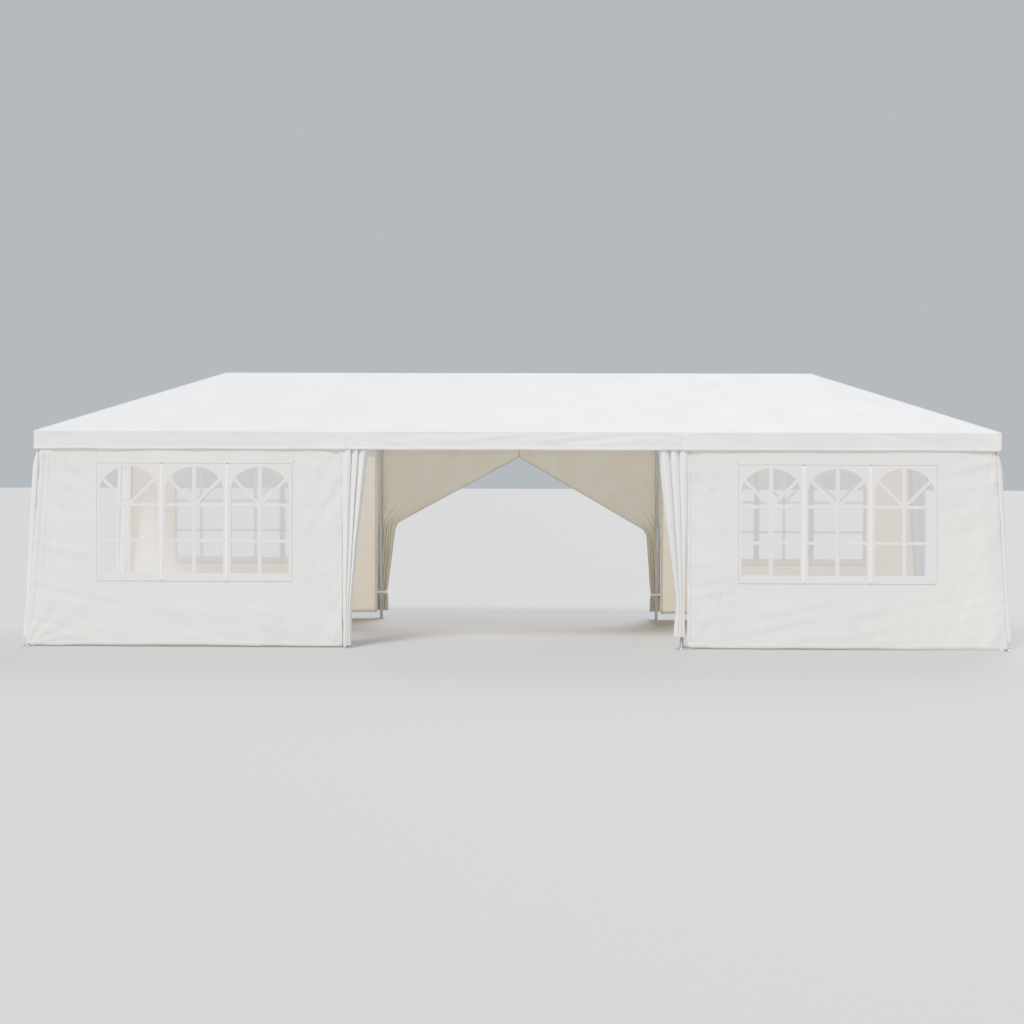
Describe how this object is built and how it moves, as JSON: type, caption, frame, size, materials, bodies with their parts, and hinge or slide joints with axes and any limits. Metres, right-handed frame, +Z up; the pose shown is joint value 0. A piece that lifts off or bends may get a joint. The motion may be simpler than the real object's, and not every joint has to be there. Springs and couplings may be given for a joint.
{
  "type": "marquee tent",
  "caption": "Long hipped white marquee on a slip-together steel frame, with arched-window walls, open ends, an open front bay and a zipped back wall drawn up to a peak.",
  "frame": {"origin": "middle of the footprint at ground level", "axes": "+X along the tent to the right end, +Y across it to the back, +Z up"},
  "size_m": [9.3334, 3.1625, 2.6878],
  "materials": {
    "galvanised_steel": "dull zinc grey",
    "roof_tarpaulin": "white woven tarpaulin, slightly glossy",
    "wall_tarpaulin": "white woven tarpaulin, matt",
    "clear_film": "clear flexible film"
  },
  "bodies": {
    "root": {"ridge_pole": "galvanised_steel", "eave_rail_front": "galvanised_steel", "eave_rail_back": "galvanised_steel", "eave_rail_left": "galvanised_steel", "eave_rail_right": "galvanised_steel", "corner_connector_front_left": "galvanised_steel", "corner_connector_front_right": "galvanised_steel", "corner_connector_back_left": "galvanised_steel", "corner_connector_back_right": "galvanised_steel", "hip_rafter_front_left": "galvanised_steel", "hip_rafter_front_right": "galvanised_steel", "hip_rafter_back_left": "galvanised_steel", "hip_rafter_back_right": "galvanised_steel", "rafter_front_left": "galvanised_steel", "rafter_front_right": "galvanised_steel", "rafter_back_left": "galvanised_steel", "rafter_back_right": "galvanised_steel", "leg_corner_front_left": "galvanised_steel", "leg_corner_front_right": "galvanised_steel", "leg_corner_back_left": "galvanised_steel", "leg_corner_back_right": "galvanised_steel", "leg_side_front_left": "galvanised_steel", "leg_side_front_right": "galvanised_steel", "leg_side_back_left": "galvanised_steel", "leg_side_back_right": "galvanised_steel", "roof_cover": "roof_tarpaulin", "wall_front_left": "wall_tarpaulin", "wall_front_right": "wall_tarpaulin", "wall_back_left": "wall_tarpaulin", "wall_back_right": "wall_tarpaulin", "door_flap_back_left": "wall_tarpaulin", "door_flap_back_right": "wall_tarpaulin", "curtain_front_left": "wall_tarpaulin", "curtain_front_right": "wall_tarpaulin", "curtain_left_front": "wall_tarpaulin", "curtain_left_back": "wall_tarpaulin", "curtain_right_front": "wall_tarpaulin", "curtain_right_back": "wall_tarpaulin", "window_film_front_left": "clear_film", "window_film_front_right": "clear_film", "window_film_back_left": "clear_film", "window_film_back_right": "clear_film"}
  },
  "joints": []
}
